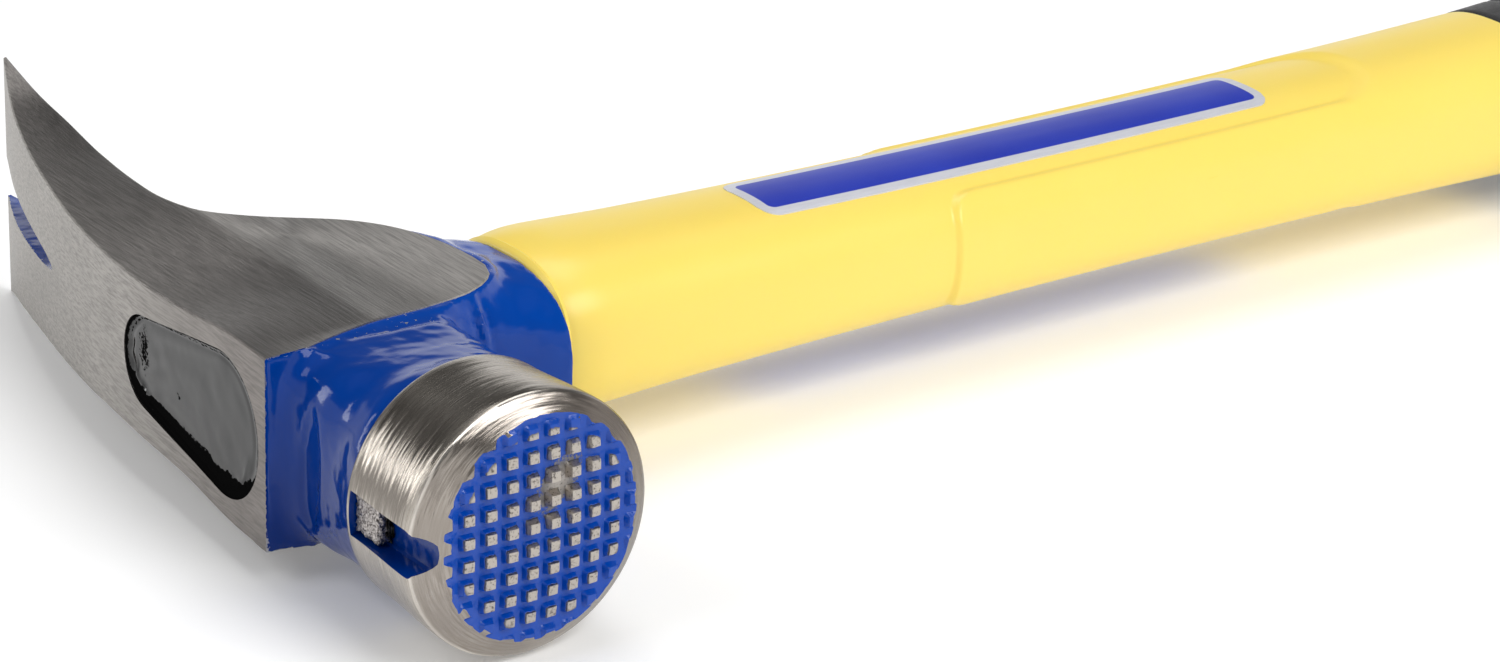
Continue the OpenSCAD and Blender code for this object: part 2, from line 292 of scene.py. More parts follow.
def ground_block():
    """Ground block and claw, with fine chamfers between its facets."""
    chamfer, pieces = 0.22, (14, 9, 9, 12, 9, 9)
    front = np.array([-18.7, -18.45, -17.9, -17.2, -16.4, -15.6, -15.1, -14.6, -13.6, -12.6, -11,
                      -9.5, -8, -5, -2])
    rings = []
    for y in np.concatenate([front, np.arange(0, 87.5, 1.25), [CLAW_END]]):
        x, w, m, c, u, v = (float(q) for q in block_section(y))
        corners = np.array([(x, -w), (x, w), (m, c), (u, v), (u, -v), (m, -c)])
        ring = []
        for i, p in enumerate(corners):
            back, ahead = corners[i - 1] - p, corners[(i + 1) % 6] - p
            cut = min(chamfer, 0.3 * np.linalg.norm(back), 0.3 * np.linalg.norm(ahead))
            start = p + ahead / np.linalg.norm(ahead) * cut
            nxt = corners[(i + 1) % 6]
            end = nxt - ahead / np.linalg.norm(ahead) * cut
            ring += [start + (end - start) * k / pieces[i] for k in range(pieces[i] + 1)]
        ring = np.array(ring)
        rings.append(np.stack([ring[:, 0], np.full(len(ring), y), ring[:, 1]], axis=1))
    return loft("head", np.array(rings)[:, ::-1], slot=0)


def tube_distance(u, v, knots):
    """Distance to a tube whose section changes along its axis, from its implicit form."""
    a, b, power = knots
    f = ((np.abs(u) / a) ** power + (np.abs(v) / b) ** power) ** (1 / power) - 1
    g = np.gradient(f, VOXEL)
    return f / np.maximum(np.sqrt(g[0] ** 2 + g[1] ** 2 + g[2] ** 2), 1e-3)


def forging_marks(body, x, y, z):
    """Raises a seam beside the neck, dents the neck's front and folds the collar's front."""
    side = np.abs(z)
    seam_x, seam_y, seam_rise, seam_half = -12.6, -19.6, 0.34, 0.75
    seam = np.hypot(x - seam_x, (y - seam_y) * 0.9)
    body -= seam_rise * np.exp(-(seam / seam_half) ** 2) * smooth(13, 8, side)

    dent_y, dent_z, dent_depth, dent_half = -24.0, -1.0, 0.55, (2.3, 8.5)
    dent = ((y - dent_y + 0.08 * z) / dent_half[0]) ** 2 + ((z - dent_z) / dent_half[1]) ** 2
    body += dent_depth * smooth(1.25, 0.7, dent) * smooth(-8, -11, x)

    fold_x, fold_rise, groove_depth, groove_away = 19.3, 0.30, 0.25, 1.1
    fold = np.abs(x - fold_x + 0.12 * z)
    ridge = np.exp(-(fold / 0.5) ** 2)
    groove = np.exp(-((fold - groove_away) / 0.55) ** 2)
    body -= fold_rise * ridge * smooth(-10, -13, y) * smooth(14, 9, side)
    body += groove_depth * groove * smooth(-10, -13, y) * smooth(14, 9, side)
    return body


def painted_body():
    """Enamelled wall of the block, neck and collar, filleted into each other like a forging."""
    low, high = (-21.0, -41.0, -19.0), (34.0, 42.0, 19.0)
    paint, coat_end, thin = 0.15, 40.5, (28, 37)
    neck_fillet, collar_fillet, inside_cheek = 3.5, 3.0, 0.2
    x, y, z = np.meshgrid(*[np.arange(a, b, VOXEL) for a, b in zip(low, high)], indexing="ij")
    line = y[0, :, 0]
    section = [q[None, :, None] for q in block_section(line)]
    top, under_x = section[0], section[4]
    lean = np.gradient(curve(UNDER, line), line)[None, :, None]
    cheek = cheek_distance(section, x, np.abs(z))
    coat = paint - 0.35 * smooth(*thin, line)[None, :, None]
    under = (x - under_x) / np.sqrt(1 + lean ** 2) - coat
    block = np.maximum.reduce([top - x, cheek, under, BLOCK_FRONT - y - paint, y - coat_end])

    front, rear = curve(TUBE_FRONT, x), curve(TUBE_REAR, x)
    knots = ((rear - front) / 2, curve(TUBE_THICK, x), curve(TUBE_POWER, x))
    tube = tube_distance(y - (rear + front) / 2, z, knots)
    tube = np.maximum(tube, -6 - x)
    knots = (curve(NECK_DEPTH, y), curve(NECK_THICK, y), curve(NECK_POWER, y))
    neck = tube_distance(x, z, knots)
    neck = np.maximum.reduce([neck, -38.0 - y, y + 8])

    body = soft_min(soft_min(block, neck, neck_fillet), tube, collar_fillet)
    body += 0.10 * lumps(x, y, z, 9, 3) * smooth(-40, -34, y)
    body += 0.03 * lumps(x, y, z, 3.2, 4)
    body = forging_marks(body, x, y, z)
    beyond = np.maximum(BLOCK_FRONT - y, 0)
    body = np.maximum.reduce([body, cheek + inside_cheek - beyond,
                              top + inside_cheek - x - 0.6 * beyond, x - COLLAR_END])
    grid = openvdb.FloatGrid()
    grid.copyFromArray(body.astype(np.float32))
    points, faces = grid.convertToQuads(isovalue=0.0)
    points = points * VOXEL + np.array(low)
    return make("painted", points, [tuple(int(i) for i in f[::-1]) for f in faces], slot=1)


def lathe(name, profile, count, slot):
    """Solid turned about Y from (radius, y, lean) rows; the lean pulls in a ring's -X side."""
    t = 2 * np.pi * np.arange(count) / count
    rings = [np.stack([r * np.sin(t) + lean * (1 - np.sin(t)) / 2, np.full(count, y),
                       r * np.cos(t)], axis=1) for r, y, lean in profile]
    return loft(name, rings, slot)


def poll_side():
    """Turned poll with a slight bell and a bevelled rim, left long where the face is milled."""
    fall = (FACE_Y - FACE_EDGE_R ** 2 / (2 * CROWN_R) + RIM_Y) / (RIM_R - FACE_EDGE_R)
    lean = BEVEL_LEAN / (RIM_R - FACE_EDGE_R)
    profile = [(RIM_R - r, RIM_Y - fall * r, lean * r) for r in (4.9, 3.6, 2.4, 1.2, 0.3)]
    profile += [(RIM_R - 0.08, RIM_Y + 0.04, 0), (RIM_R, RIM_Y + 0.3, 0)]
    bell = -RIM_Y - 0.3 - 38.0
    profile += [(RIM_R + (POLL_R - RIM_R) * smooth(0, 1, t), RIM_Y + 0.3 + bell * t, 0)
                for t in np.linspace(0.08, 1, 12)]
    back_round = [(0.1, -37.7), (0.35, -37.4), (0.9, -36.9), (1.6, -36.5)]
    profile += [(POLL_R - inset, y, 0) for inset, y in back_round]
    return lathe("poll", profile, POLL_POINTS, slot=2)


def face_radius(x, z):
    """Distance from the milled field's middle, scaled so that its oval edge is a circle."""
    return np.hypot((x - BEVEL_LEAN / 2) * FACE_EDGE_R / (FACE_EDGE_R - BEVEL_LEAN / 2), z)


def mill_steps(u):
    """How deep a point is in the nearest groove, from 0 on a tooth to 1 on a groove's floor."""
    t = np.abs(u - MILL_PITCH * np.round(u / MILL_PITCH))
    return smooth(0.0, 1.0, (0.93 - t) / 0.52)


def milled_block():
    """Block whose front is the crowned, milled striking face."""
    step, reach, rear, proud = MILL_PITCH / MILL_STEPS, 90, -30, 0.06
    line = np.arange(-reach, reach + 1) * step
    x, z = np.meshgrid(line + MILL_X, line + MILL_Z, indexing="ij")
    across, along = mill_steps(x - MILL_X), mill_steps(z - MILL_Z)
    sunk = 1 - (1 - across) * (1 - along)
    r2 = x * x + z * z
    floor = MILL_DEPTH * (1 - 0.25 * r2 / FACE_EDGE_R ** 2)
    floor = floor * smooth(16.8, 12.4, face_radius(x, z))
    pits = 0.02 * lumps(x, 0 * x, z, 0.9, 8) + 0.03 * lumps(x, 0 * x, z, 3.5, 9)
    y = -FACE_Y + proud + r2 / (2 * CROWN_R) + floor * sunk + pits
    front = np.stack([x, y, z], axis=-1).reshape(-1, 3)
    m, n = x.shape
    rim = border(m, n)
    faces = quads(m, n, False, flip=True)
    for k, point in enumerate(rim):
        after = (k + 1) % len(rim)
        faces.append((rim[after], len(front) + after, len(front) + k, point))
    faces.append(tuple(range(len(front), len(front) + len(rim)))[::-1])
    base = front[rim]
    base[:, 1] = rear
    return make("mill", np.concatenate([front, base]), faces, slot=3)


def starter_cut():
    """Cutter for the round-ended groove that holds a nail in the poll's top."""
    past_rim, r = 1.8, GROOVE_W / 2
    front = RIM_Y - past_rim + r
    t = np.linspace(-np.pi / 2, np.pi / 2, 17)
    outline = [(front - r * np.cos(a), r * np.sin(a)) for a in t]
    outline += [(MAGNET_Y, r), (MAGNET_Y, -r)]
    rings = []
    flare = ((-30, 0.35), (-17.6, 0.3), (-16.9, 0.0), (-14.1, 0.0), (GROOVE_FLOOR, -0.3))
    for x, grow in flare:
        rings.append([(x, y - grow * (y < front + 1), z + grow * np.sign(z)) for y, z in outline])
    return loft("starter", rings, slot=1)


def eye_outline(n, grow=0.0):
    """Egg-shaped outline of the eye, drawn in Y and Z, widest towards the poll."""
    r0, y0 = EYE_POLL_END[0] + grow, EYE_POLL_END[1]
    r1, y1 = EYE_CLAW_END[0] + grow, EYE_CLAW_END[1]
    lean = math.pi - math.acos((r0 - r1) / (y1 - y0))
    t = np.linspace(lean - math.pi, math.pi - lean, n // 3)
    small = np.stack([y1 + r1 * np.cos(t), r1 * np.sin(t)], axis=1)
    t = np.linspace(math.pi - lean, math.pi + lean, n - n // 3)
    large = np.stack([y0 + r0 * np.cos(t), r0 * np.sin(t)], axis=1)
    return np.concatenate([small, large])


def nail_slot_cut():
    """Cutter for the V-shaped nail slot."""
    y = np.linspace(SLOT_Y, CLAW_END + 1, 24)
    w = curve([(SLOT_Y, 0.25), (56, 1.0), (69.8, SLOT_W * 0.72), (CLAW_END, SLOT_W * 1.1)], y)
    outline = np.concatenate([np.stack([y, -w], 1), np.stack([y, w], 1)[::-1]])
    flare = [(-30, 0.9), (-9, 0.35), (-2, 0.0), (3.2, 0.0), (8, 0.3)]
    rings = [[(x, a, b + g * 0.3 * np.sign(b)) for a, b in outline] for x, g in flare]
    return loft("slot", rings, slot=1)


def build_head():
    """Forged head: block and claw, enamelled body, eye, socket, nail slot and milled poll."""
    head = ground_block()
    combine(head, painted_body(), "UNION")
    egg = eye_outline(96)
    combine(head, loft("eye", [ring_x(x, egg.T) for x in (-40, EYE_FLOOR)]), "DIFFERENCE")
    tang = stadium(*TANG, 64)
    socket = [ring_x(x, tang, HANDLE[1:]) for x in (EYE_FLOOR - 1, COLLAR_END + 3)]
    combine(head, loft("socket", socket, slot=1), "DIFFERENCE")
    combine(head, nail_slot_cut(), "DIFFERENCE")
    poll = poll_side()
    combine(poll, milled_block(), "INTERSECT")
    combine(poll, starter_cut(), "DIFFERENCE")
    combine(head, poll, "UNION")
    classify_head(head)
    shade(head, 28)
    return head


def classify_head(head):
    """Gives enamel to the block's unground faces, and marks the points its materials read."""
    mesh = head.data
    count = len(mesh.polygons)
    centre, normal = np.zeros(count * 3), np.zeros(count * 3)
    slot = np.zeros(count, np.int32)
    mesh.polygons.foreach_get("center", centre)
    mesh.polygons.foreach_get("normal", normal)
    mesh.polygons.foreach_get("material_index", slot)
    centre = centre.reshape(-1, 3) * 1000 - ORIGIN
    normal = normal.reshape(-1, 3)
    y = centre[:, 1]
    under = (centre[:, 0] > curve(UNDER, y) - 0.12) & (normal[:, 0] > 0.5)
    front = (y < BLOCK_FRONT + 0.05) & (normal[:, 1] < -0.7)
    slot[(slot == 0) & (under | front)] = 1
    mesh.polygons.foreach_set("material_index", slot)

    x, y, z = points_of(head).T
    section = block_section(y)
    top, w, m = section[:3]
    cheek = cheek_distance(section, x, np.abs(z))
    ground = np.minimum(-cheek, np.maximum(x - top, 0))
    ground += 2.0 * np.maximum(BLOCK_FRONT - 0.2 - y, 0)
    mark(head, "edge", np.clip(ground, 0, 4))
    # Painted light on the cheeks' lower facets, fading towards the claw; the upper facets keep painted
    # shade.
    mark(head, "facet", smooth(-0.8, 0.8, x - m) * (1 - 0.8 * smooth(25, 46, y)))
    # The top face, which the steel's material gives painted shade towards the front.
    mark(head, "topside", smooth(0.3, 0.0, x - top) * (np.abs(z) < w + 0.1))
    tooth = (1 - mill_steps(x - MILL_X)) * (1 - mill_steps(z - MILL_Z))
    r = face_radius(x, z)
    rub_x, rub_z = x - 3.2, z - 5.4
    rub = np.exp(-((rub_x * 0.65 + rub_z * 0.75) / 8.0) ** 2
                 - ((rub_x * 0.75 - rub_z * 0.65) / 4.6) ** 2)
    mark(head, "bare", tooth * smooth(14.3, 12.6, r) + 0.9 * rub * smooth(14.5, 12, r))


# ---------------------------------------------------------------- eye and nail starter
def cap_black(outline, gap, y, z):
    """Above 0 where the resin mirrors nothing: a painted dark reflection band, its outline, a crack, a
    line, a pit.
    """
    side = outline[:, 1] / np.abs(outline[:, 1]).max()
    band_width = 4.6 * smooth(-0.15, -0.75, side) * smooth(-18.5, -9, outline[:, 0])
    jag = 0.3 * np.sin(y * 0.9 + 2) + 0.25 * np.sin(y * 2.3) + 0.15 * np.sin(y * 5.1 + 1)
    band = band_width[None] - gap + jag * (band_width > 0.4)
    pit = 0.3 * (1.0 - np.hypot((y - 17) / 1.1, (z - 1.2) / 2.6))
    crack = 0.3 - np.abs(y - 6.8 - 0.56 * (z + 0.6)) - 2 * np.maximum(np.abs(z + 3) - 2.4, 0)
    line = 0.16 - np.abs(gap - 1.0) - 2 * np.maximum(0.35 - side, 0)[None]
    return np.maximum.reduce([band, 0.5 - gap, crack, line, pit])


def build_cap():
    """Glossy resin poured level in the eye, with a raised rim and a few frozen ripples."""
    outline = eye_outline(120, -0.02)
    centre = np.array([2.5, 0.0])
    shrink = np.concatenate([np.linspace(0.02, 0.8, 22), np.linspace(0.83, 1, 14)])
    grid = centre + (outline - centre)[None] * shrink[:, None, None]
    y, z = grid[..., 0], grid[..., 1]
    gap = np.linalg.norm(outline - centre, axis=1)[None] * (1 - shrink[:, None])
    top = -15.3 + 0.0617 * y
    wall = 0.42 * np.exp(-gap / 0.5) - 0.10 * np.exp(-((gap - 1.5) / 0.5) ** 2)
    swell = 0.16 * (1 - smooth(0.2, 1.0, shrink)[:, None])
    band = np.exp(-((gap - 2.6 - 0.35 * np.sin(y * 1.3) - 0.2 * np.sin(y * 2.9 + 1)) / 0.55) ** 2)
    band = band * smooth(0.5, -3.0, z) * smooth(-15, -8, y)
    tail = 0.10 * np.sin((z + 0.35 * y) * 2.1) * smooth(9, 15, y) * smooth(0.5, 1.6, gap)
    x = top - wall - swell - 0.30 * band - tail - 0.03 * lumps(y, z, 0 * y, 5, 11)
    rings = np.stack([x, y, z], axis=-1)
    base = np.stack([np.full(len(outline), CAP_BOTTOM), outline[:, 0], outline[:, 1]], axis=-1)
    cap = loft("epoxy_cap", np.concatenate([base[None], rings[::-1]]))
    # The marked band paints the cap's dark reflection by taking away its gloss.
    shown = cap_black(outline, gap, y, z)[::-1].ravel()
    mark(cap, "black", np.clip(np.concatenate([np.ones(len(outline)), shown]), -1, 1))
    shade(cap, 50)
    return cap


def rough_box(name, low, high, cells, power, rough, seed):
    """Rounded block with an uneven surface, inside the given corners."""
    low, high = np.array(low, float), np.array(high, float)
    half, middle = (high - low) / 2, (high + low) / 2
    shape = bmesh.new()
    bmesh.ops.create_cube(shape, size=2)
    bmesh.ops.subdivide_edges(shape, edges=shape.edges, cuts=cells, use_grid_fill=True)
    p = np.array([v.co for v in shape.verts])
    size = (np.abs(p) ** power).sum(1) ** (1 / power)
    p = p / size[:, None] * np.abs(p).max(1)[:, None]
    q = p * half
    dent = rough * (0.5 + 0.5 * lumps(*q.T, 1.1, seed) + 0.3 * lumps(*q.T, 0.45, seed + 1))
    q *= 1 - np.clip(dent, 0, 1)[:, None] / half.min()
    shape.verts.index_update()
    faces = [tuple(v.index for v in f.verts) for f in shape.faces]
    shape.free()
    block = make(name, q + middle, faces)
    shade(block, 60)
    return block


def build_magnet():
    """Sintered block that holds a nail's head, set back in the starter groove."""
    high = (GROOVE_FLOOR - 0.4, MAGNET_Y, GROOVE_W / 2 - 0.3)
    low = (high[0] - MAGNET_T, MAGNET_Y - MAGNET_L, -high[2])
    return rough_box("magnet", low, high, 13, 12, 0.16, 21)


def build_magnet_glue():
    """Bed of adhesive that the magnet sits in."""
    low = (GROOVE_FLOOR - 0.85, MAGNET_Y - MAGNET_L - 0.55, 0.05 - GROOVE_W / 2)
    high = (GROOVE_FLOOR - 0.02, MAGNET_Y - 0.05, GROOVE_W / 2 - 0.05)
    return rough_box("magnet_glue", low, high, 15, 6, 0.10, 31)


# ---------------------------------------------------------------- handle
def panel_rise(x, y):
    """0 in the jacket's sunken label panel and by the collar, 1 on its raised grip faces."""
    corner, foot_fillet = 7.0, 5.0
    end = PANEL_END - 0.03 * (y + 4) ** 2
    dx, dy = x - end + corner, np.abs(y) - PANEL_HALF + corner
    panel = np.hypot(np.maximum(dx, 0), np.maximum(dy, 0)) + np.minimum(np.maximum(dx, dy), 0)
    panel -= corner
    edge = soft_min(panel, x - PAD_FOOT, foot_fillet)
    slope_half = 0.45 + 1.5 * smooth(176, 185, x)
    return smooth(-1, 1, edge / slope_half)


def jacket_half(x):
    """Half of the jacket's depth at x, before its pads."""
    return WAIST * curve(JACKET, x)


def build_jacket():
    """Moulded jacket: a tang in the collar, the long yellow grip faces, and a sleeve for the rubber."""
    n = HANDLE_POINTS
    lines = np.concatenate([np.arange(*span) for span in JACKET_SPANS] + [[GRIP_START]])
    tang = stadium(*TANG, n)
    rings = [ring_x(x, tang) for x in (BOND_FLOOR, COLLAR_END)]
    for x, inset in ((COLLAR_END, 0.3), (32.05, 0.08), (32.3, 0.0), (32.8, 0.0)):
        a = jacket_half(x)
        rings.append(ring_x(x, oval(a - inset, a * FLATNESS - inset, SECTION_POWER, n)))
    for x in np.unique(np.round(lines, 3)):
        a = float(jacket_half(x))
        y, z = oval(a, a * FLATNESS, SECTION_POWER, n)
        ny, nz = np.roll(z, -1) - np.roll(z, 1), np.roll(y, 1) - np.roll(y, -1)
        length = np.hypot(ny, nz)
        lift = PAD_RISE * (panel_rise(x, y) - PAD_SINK)
        rings.append(ring_x(x, (y + lift * ny / length, z + lift * nz / length)))
    a = float(jacket_half(GRIP_START))
    sleeve = stadium(a - SLEEVE_INSET, a * FLATNESS - SLEEVE_INSET, n)
    rings += [ring_x(x, sleeve) for x in (GRIP_START, SLEEVE_END)]
    rings = np.array(rings) + HANDLE
    jacket = loft("jacket", rings)
    core = np.array([ring_x(x, stadium(*CORE, 96)) for x in (0, CORE_END)]) + HANDLE
    combine(jacket, loft("core", core), "DIFFERENCE")
    shade(jacket, 40)
    return jacket


def build_label(name, side):
    """Foil label with rounded corners that follows the jacket's panel."""
    along, across, proud, sunk, corner = 200, 27, 0.14, 0.1, 2.8
    t = np.linspace(-1, 1, along)
    x = LABEL_START + LABEL_L / 2 * (1 + np.sign(t) * np.abs(t) ** 0.8)
    end = np.minimum(x - LABEL_START, LABEL_START + LABEL_L - x)
    inset = corner - np.sqrt(np.maximum(corner ** 2 - np.maximum(corner - end, 0) ** 2, 0))
    v = np.linspace(-1, 1, across)[None, :] * (LABEL_W - inset[:, None])
    u = np.repeat(x[:, None], across, axis=1)
    y = v - LABEL_OFF
    a = jacket_half(u)
    lift = PAD_RISE * (panel_rise(u, y) - PAD_SINK)
    z = a * FLATNESS * (1 - (np.abs(y) / a) ** SECTION_POWER) ** (1 / SECTION_POWER) + lift
    top = np.stack([u, y, z + proud], axis=-1)
    bottom = np.stack([u, y, z - sunk], axis=-1)
    turn = np.array([1, side, side])
    label = sheet(name, top * turn + HANDLE, bottom * turn + HANDLE)
    dx = np.abs(u - LABEL_START - LABEL_L / 2) - LABEL_L / 2 + corner
    dy = np.abs(v) - LABEL_W + corner
    gap = corner - np.hypot(np.maximum(dx, 0), np.maximum(dy, 0)) - np.minimum(np.maximum(dx, dy), 0)
    mark(label, "border", np.tile(gap.ravel(), 2))
    shade(label, 50)
    return label


def grip_flatness(x):
    """The grip's thickness as a share of its depth, which grows towards the butt."""
    return FLATNESS + 0.1 * (x - GRIP_START) / (BUTT_END - GRIP_START)


def build_grip():
    """Rubber sleeve with moulded cross ribs between two plain bands, and a flat butt."""
    n, rib_pitch, rib_depth, ring_depth, ring_places = 160, 5.6, 0.75, 0.6, (231, 377)
    butt_round, butt_half = 3, 17.5
    round_start = BUTT_END - butt_round
    lines = np.concatenate([GRIP_START + np.array([0, 0.25, 0.6, 1.2, 2]),
                            np.arange(GRIP_START + 3, round_start - 0.5, 0.7), [round_start - 0.2]])
    angle = 2 * np.pi * (np.arange(n) + 0.5) / n
    on_sides = smooth(0.25, 0.45, np.abs(np.cos(angle)))
    rings = []
    for x in lines:
        a = WAIST * float(curve(GRIP, x))
        b = a * grip_flatness(x)
        rib = smooth(-0.3, 0.3, np.cos(2 * np.pi * (x - 240) / rib_pitch)) * smooth(236, 240, x)
        rib = rib * smooth(372, 368, x) * on_sides
        ring = sum(smooth(1.2, 0.6, abs(x - place)) for place in ring_places)
        edge = 0.9 * smooth(1.4, 0, x - GRIP_START) ** 2
        cut = rib_depth * rib + ring_depth * ring + edge
        y, z = oval(a, b, SECTION_POWER, n)
        rings.append(ring_x(x, (y * (1 - cut / a), z * (1 - cut / b))))
    last = WAIST * float(curve(GRIP, round_start))
    for t in np.linspace(0, math.pi / 2, 7):
        a = last + (butt_half - last) * (1 - math.cos(t))
        x = round_start + butt_round * math.sin(t)
        rings.append(ring_x(x, oval(a, a * grip_flatness(x), SECTION_POWER, n)))
    grip = loft("grip_rubber", np.array(rings) + HANDLE)
    a = float(jacket_half(GRIP_START))
    sleeve = stadium(a - SLEEVE_INSET, a * FLATNESS - SLEEVE_INSET, HANDLE_POINTS)
    core = np.array([ring_x(x, sleeve) for x in (GRIP_START - 1, SLEEVE_END)]) + HANDLE
    combine(grip, loft("core", core), "DIFFERENCE")
    shade(grip, 50)
    return grip


# ---------------------------------------------------------------- materials
class Finish:
    """Principled material whose inputs are wired by short calls. Places are in head millimetres."""

    def __init__(self, name, **values):
        self.material = bpy.data.materials.new(name)
        self.material.use_nodes = True
        self.tree = self.material.node_tree
        self.bsdf = self.tree.nodes["Principled BSDF"]
        coordinate = self.tree.nodes.new("ShaderNodeTexCoord")
        self.place = self.add("Mapping", Vector=coordinate.outputs["Object"], Scale=(1000,) * 3,
                              Location=tuple(-ORIGIN)).outputs[0]
        self.put(self.bsdf, values)

    def put(self, node, values):
        """Sets or wires a node's inputs, by name or by place."""
        for key, value in values.items():
            socket = node.inputs[key if isinstance(key, int) else key.replace("_", " ")]
            if isinstance(value, bpy.types.NodeSocket):
                self.tree.links.new(value, socket)
            else:
                socket.default_value = value

    def add(self, kind, options=None, **values):
        """New node of a kind, with its options and inputs set."""
        node = self.tree.nodes.new("ShaderNode" + kind)
        for key, value in (options or {}).items():
            setattr(node, key, value)
        self.put(node, values)
        return node

    def sum(self, operation, *values):
        """Result of a math operation on values or sockets."""
        node = self.add("Math", {"operation": operation})
        self.put(node, dict(enumerate(values)))
        return node.outputs[0]

    def noise(self, size, stretch=(1, 1, 1), detail=3.0, seed=0.0, place=None):
        """Noise whose features are about size millimetres, longer along a stretched axis."""
        moved = self.add("Mapping", Vector=place or self.place, Location=(seed, seed * 1.7, -seed),
                         Scale=tuple(1 / (size * s) for s in stretch))
        return self.add("TexNoise", Vector=moved.outputs[0], Scale=1.0, Detail=detail,
                        Roughness=0.6).outputs["Fac"]

    def ramp(self, value, low, high, start=0.0, end=1.0, soft=True):
        """Carries the span low..high of a value to start..end."""
        kind = {"interpolation_type": "SMOOTHSTEP" if soft else "LINEAR"}
        node = self.add("MapRange", kind)
        self.put(node, {0: value, 1: low, 2: high, 3: start, 4: end})
        return node.outputs[0]

    def mix(self, factor, a, b):
        """Colour a at factor 0 and b at factor 1."""
        node = self.add("Mix", {"data_type": "RGBA"})
        self.put(node, {0: factor, 6: a, 7: b})
        return node.outputs[2]

    def point(self, name):
        """Number that mark() gave to the mesh's points."""
        return self.add("Attribute", {"attribute_name": name}).outputs["Fac"]

    def split(self):
        """X, Y and Z of the place in the head's frame."""
        parts = self.add("SeparateXYZ", Vector=self.place).outputs
        return parts[0], parts[1], parts[2]

    def bump(self, height, depth, normal=None):
        """Normal from a height of 0 to 1, whose full range is depth millimetres."""
        node = self.add("Bump", Height=height, Distance=depth / 1000, Strength=1.0)
        if normal is not None:
            self.put(node, {"Normal": normal})
        return node.outputs[0]

    def set(self, **values):
        """Sets the surface's inputs and gives the finished material."""
        self.put(self.bsdf, values)
        return self.material


def rgb(red, green, blue):
    """Linear colour from display values of 0 to 255."""
    return tuple((c / 255) ** 2.2 for c in (red, green, blue)) + (1.0,)


def ground_steel():
    """Ground steel, grain across the head; painted shade on upper facets, painted light on lower ones.
    """
    f = Finish("ground_steel", Metallic=1.0, Anisotropic=0.7, Tangent=(1, 0, 1))
    grain = f.noise(0.28, (1, 22, 1), 4, 3)
    fine = f.noise(0.12, (1, 30, 1), 3, 5)
    blotch = f.noise(9, (1, 1.6, 1), 3, 7)
    # Painted shade on the cheeks' upper facets and painted light on the lower ones.
    painted_light_tone = f.mix(f.point("facet"), rgb(138, 134, 131), rgb(180, 176, 172))
    # Painted shade on the top face, darker towards the block's front and lighter towards the claw.
    front = f.ramp(f.split()[1], 35, -20)
    painted_light_tone = f.mix(f.point("topside"), painted_light_tone, f.mix(front, rgb(170, 166, 161), rgb(140, 134, 130)))
    dark = f.mix(0.45, painted_light_tone, rgb(70, 69, 67))
    colour = f.mix(f.ramp(grain, 0.3, 0.65), dark, painted_light_tone)
    colour = f.mix(f.ramp(blotch, 0.4, 0.75, 0, 0.35), colour, dark)
    rough = f.ramp(fine, 0.3, 0.7, 0.3, 0.42)
    normal = f.bump(fine, 0.02, f.bump(grain, 0.035))
    return f.set(Base_Color=colour, Roughness=rough, Normal=normal)


def enamel():
    """Thick blue enamel, painted shade on the front wall, painted glints, chipped to bare metal along
    ground edges.
    """
    f = Finish("blue_enamel", IOR=1.45, Specular_IOR_Level=0.3)
    edge, chips = f.point("edge"), f.noise(0.9, detail=5, seed=2)
    bare = f.ramp(f.sum("SUBTRACT", f.sum("MULTIPLY", chips, 1.1), edge), 0.5, 0.54)
    pool = f.noise(7, detail=2, seed=9)
    x, y, z = f.split()
    colour = f.mix(pool, rgb(0, 59, 142), rgb(0, 69, 160))
    # Painted shade on the front wall and neck, deeper towards the bottom.
    wall = f.sum("MULTIPLY", f.ramp(y, -14, -20), f.ramp(z, 12, -12, 0.45, 1.0))
    colour = f.mix(wall, colour, rgb(0, 44, 112))
    # Painted glints: small spots of paler blue scattered over the enamel.
    specks = f.ramp(f.noise(1.1, detail=2, seed=14), 0.78, 0.84)
    colour = f.mix(specks, colour, rgb(40, 84, 186))
    colour = f.mix(bare, colour, rgb(186, 186, 190))
    normal = f.bump(f.noise(3.4, detail=1, seed=4), 0.16, f.bump(f.noise(0.6, detail=2), 0.01))
    return f.set(Base_Color=colour, Metallic=bare, Normal=normal,
                 Roughness=f.ramp(bare, 0, 1, 0.1, 0.4))


